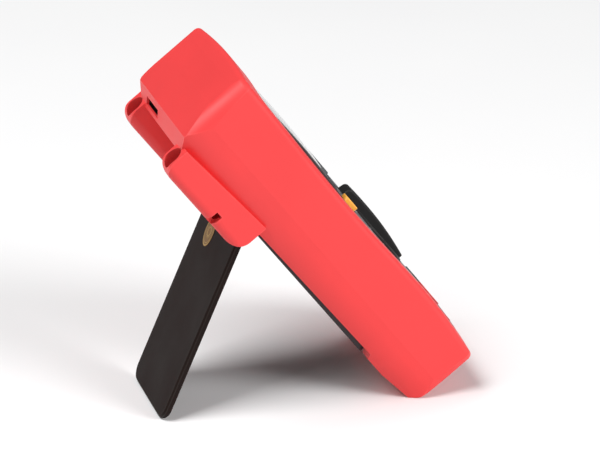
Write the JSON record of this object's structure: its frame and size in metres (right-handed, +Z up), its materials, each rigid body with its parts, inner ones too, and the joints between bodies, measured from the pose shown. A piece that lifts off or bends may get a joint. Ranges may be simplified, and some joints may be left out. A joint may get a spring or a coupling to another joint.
{
  "type": "digital multimeter",
  "caption": "Handheld digital multimeter in a rubber holster with probe holders, leaning on its folding rear stand, with rotary dial, display and sprung buttons.",
  "frame": {"origin": "on the floor under the middle of the standing meter, halfway between its front and its stand", "axes": "+X to the right of a person facing the display, +Y away from them, +Z up; the face looks to -Y and up"},
  "size_m": [0.087, 0.1478, 0.1677],
  "materials": {
    "holster": "satin",
    "case_black": "matte",
    "stand_black": "satin",
    "panel": "satin",
    "window": "gloss",
    "lcd": "gloss",
    "white_plastic": "matte",
    "strip": "matte",
    "port": "gloss",
    "keypad": "matte",
    "board": "satin",
    "steel": "satin",
    "brass": "polished",
    "red_plastic": "satin",
    "black_plastic": "satin",
    "knob": "satin",
    "pointer": "matte",
    "yellow_button": "satin",
    "blue_button": "satin",
    "grey_button": "satin",
    "fuse": "gloss",
    "battery": "satin",
    "chip": "matte",
    "sticker": "satin",
    "thermistor": "satin"
  },
  "bodies": {
    "case": {"amps_jack": "brass", "battery": "battery", "battery_door": "case_black", "battery_door_screw": "steel", "battery_snap": "black_plastic", "board_screws": "steel", "buzzer": "brass", "capacitors": "chip", "case_screws": "steel", "common_jack": "brass", "common_jack_collar": "black_plastic", "current_shunt": "steel", "data_port_window": "port", "detent_ring": "white_plastic", "dial_panel": "panel", "display_frame": "white_plastic", "display_window": "window", "front_cover": "case_black", "fuse_clips": "brass", "high_current_fuse": "fuse", "holster": "holster", "jack_collars": "red_plastic", "keypad_mat": "keypad", "lcd_backlight": "white_plastic", "lcd_connector_strip": "strip", "lcd_glass": "lcd", "low_current_fuse": "fuse", "main_board": "board", "measuring_chips": "chip", "milliamps_jack": "brass", "rear_cover": "case_black", "stand_pins": "steel", "thermistors": "thermistor", "volts_jack": "brass"},
    "dial": {"knob": "knob", "knob_pointer": "pointer", "switch_rotor": "white_plastic", "rotor_contacts": "brass", "detent_balls": "steel", "detent_springs": "steel"},
    "stand": {"stand": "stand_black", "stand_sticker": "sticker"},
    "select_button": {"select_button": "yellow_button"},
    "backlight_button": {"backlight_button": "blue_button"},
    "range_button": {"range_button": "grey_button"},
    "relative_button": {"relative_button": "grey_button"},
    "frequency_button": {"frequency_button": "grey_button"},
    "hold_button": {"hold_button": "grey_button"}
  },
  "joints": [
    {"name": "stand_hinge", "type": "hinge", "parent": "case", "child": "stand", "pos_m": [0, 0.03099, 0.09295], "axis": [1, 0, 0], "range_deg": [-61.3, 0]},
    {"name": "dial_turn", "type": "hinge", "parent": "case", "child": "dial", "pos_m": [0, -0.03671, 0.07444], "axis": [0, -0.8059, 0.592], "range_deg": [-135, 135]},
    {"name": "select_press", "type": "slide", "parent": "case", "child": "select_button", "axis": [0, 0.8059, -0.592], "range_m": [0, 0.001], "stiffness_N_per_m": 800},
    {"name": "backlight_press", "type": "slide", "parent": "case", "child": "backlight_button", "axis": [0, 0.8059, -0.592], "range_m": [0, 0.001], "stiffness_N_per_m": 800},
    {"name": "range_press", "type": "slide", "parent": "case", "child": "range_button", "axis": [0, 0.8059, -0.592], "range_m": [0, 0.001], "stiffness_N_per_m": 800},
    {"name": "relative_press", "type": "slide", "parent": "case", "child": "relative_button", "axis": [0, 0.8059, -0.592], "range_m": [0, 0.001], "stiffness_N_per_m": 800},
    {"name": "frequency_press", "type": "slide", "parent": "case", "child": "frequency_button", "axis": [0, 0.8059, -0.592], "range_m": [0, 0.001], "stiffness_N_per_m": 800},
    {"name": "hold_press", "type": "slide", "parent": "case", "child": "hold_button", "axis": [0, 0.8059, -0.592], "range_m": [0, 0.001], "stiffness_N_per_m": 800}
  ]
}
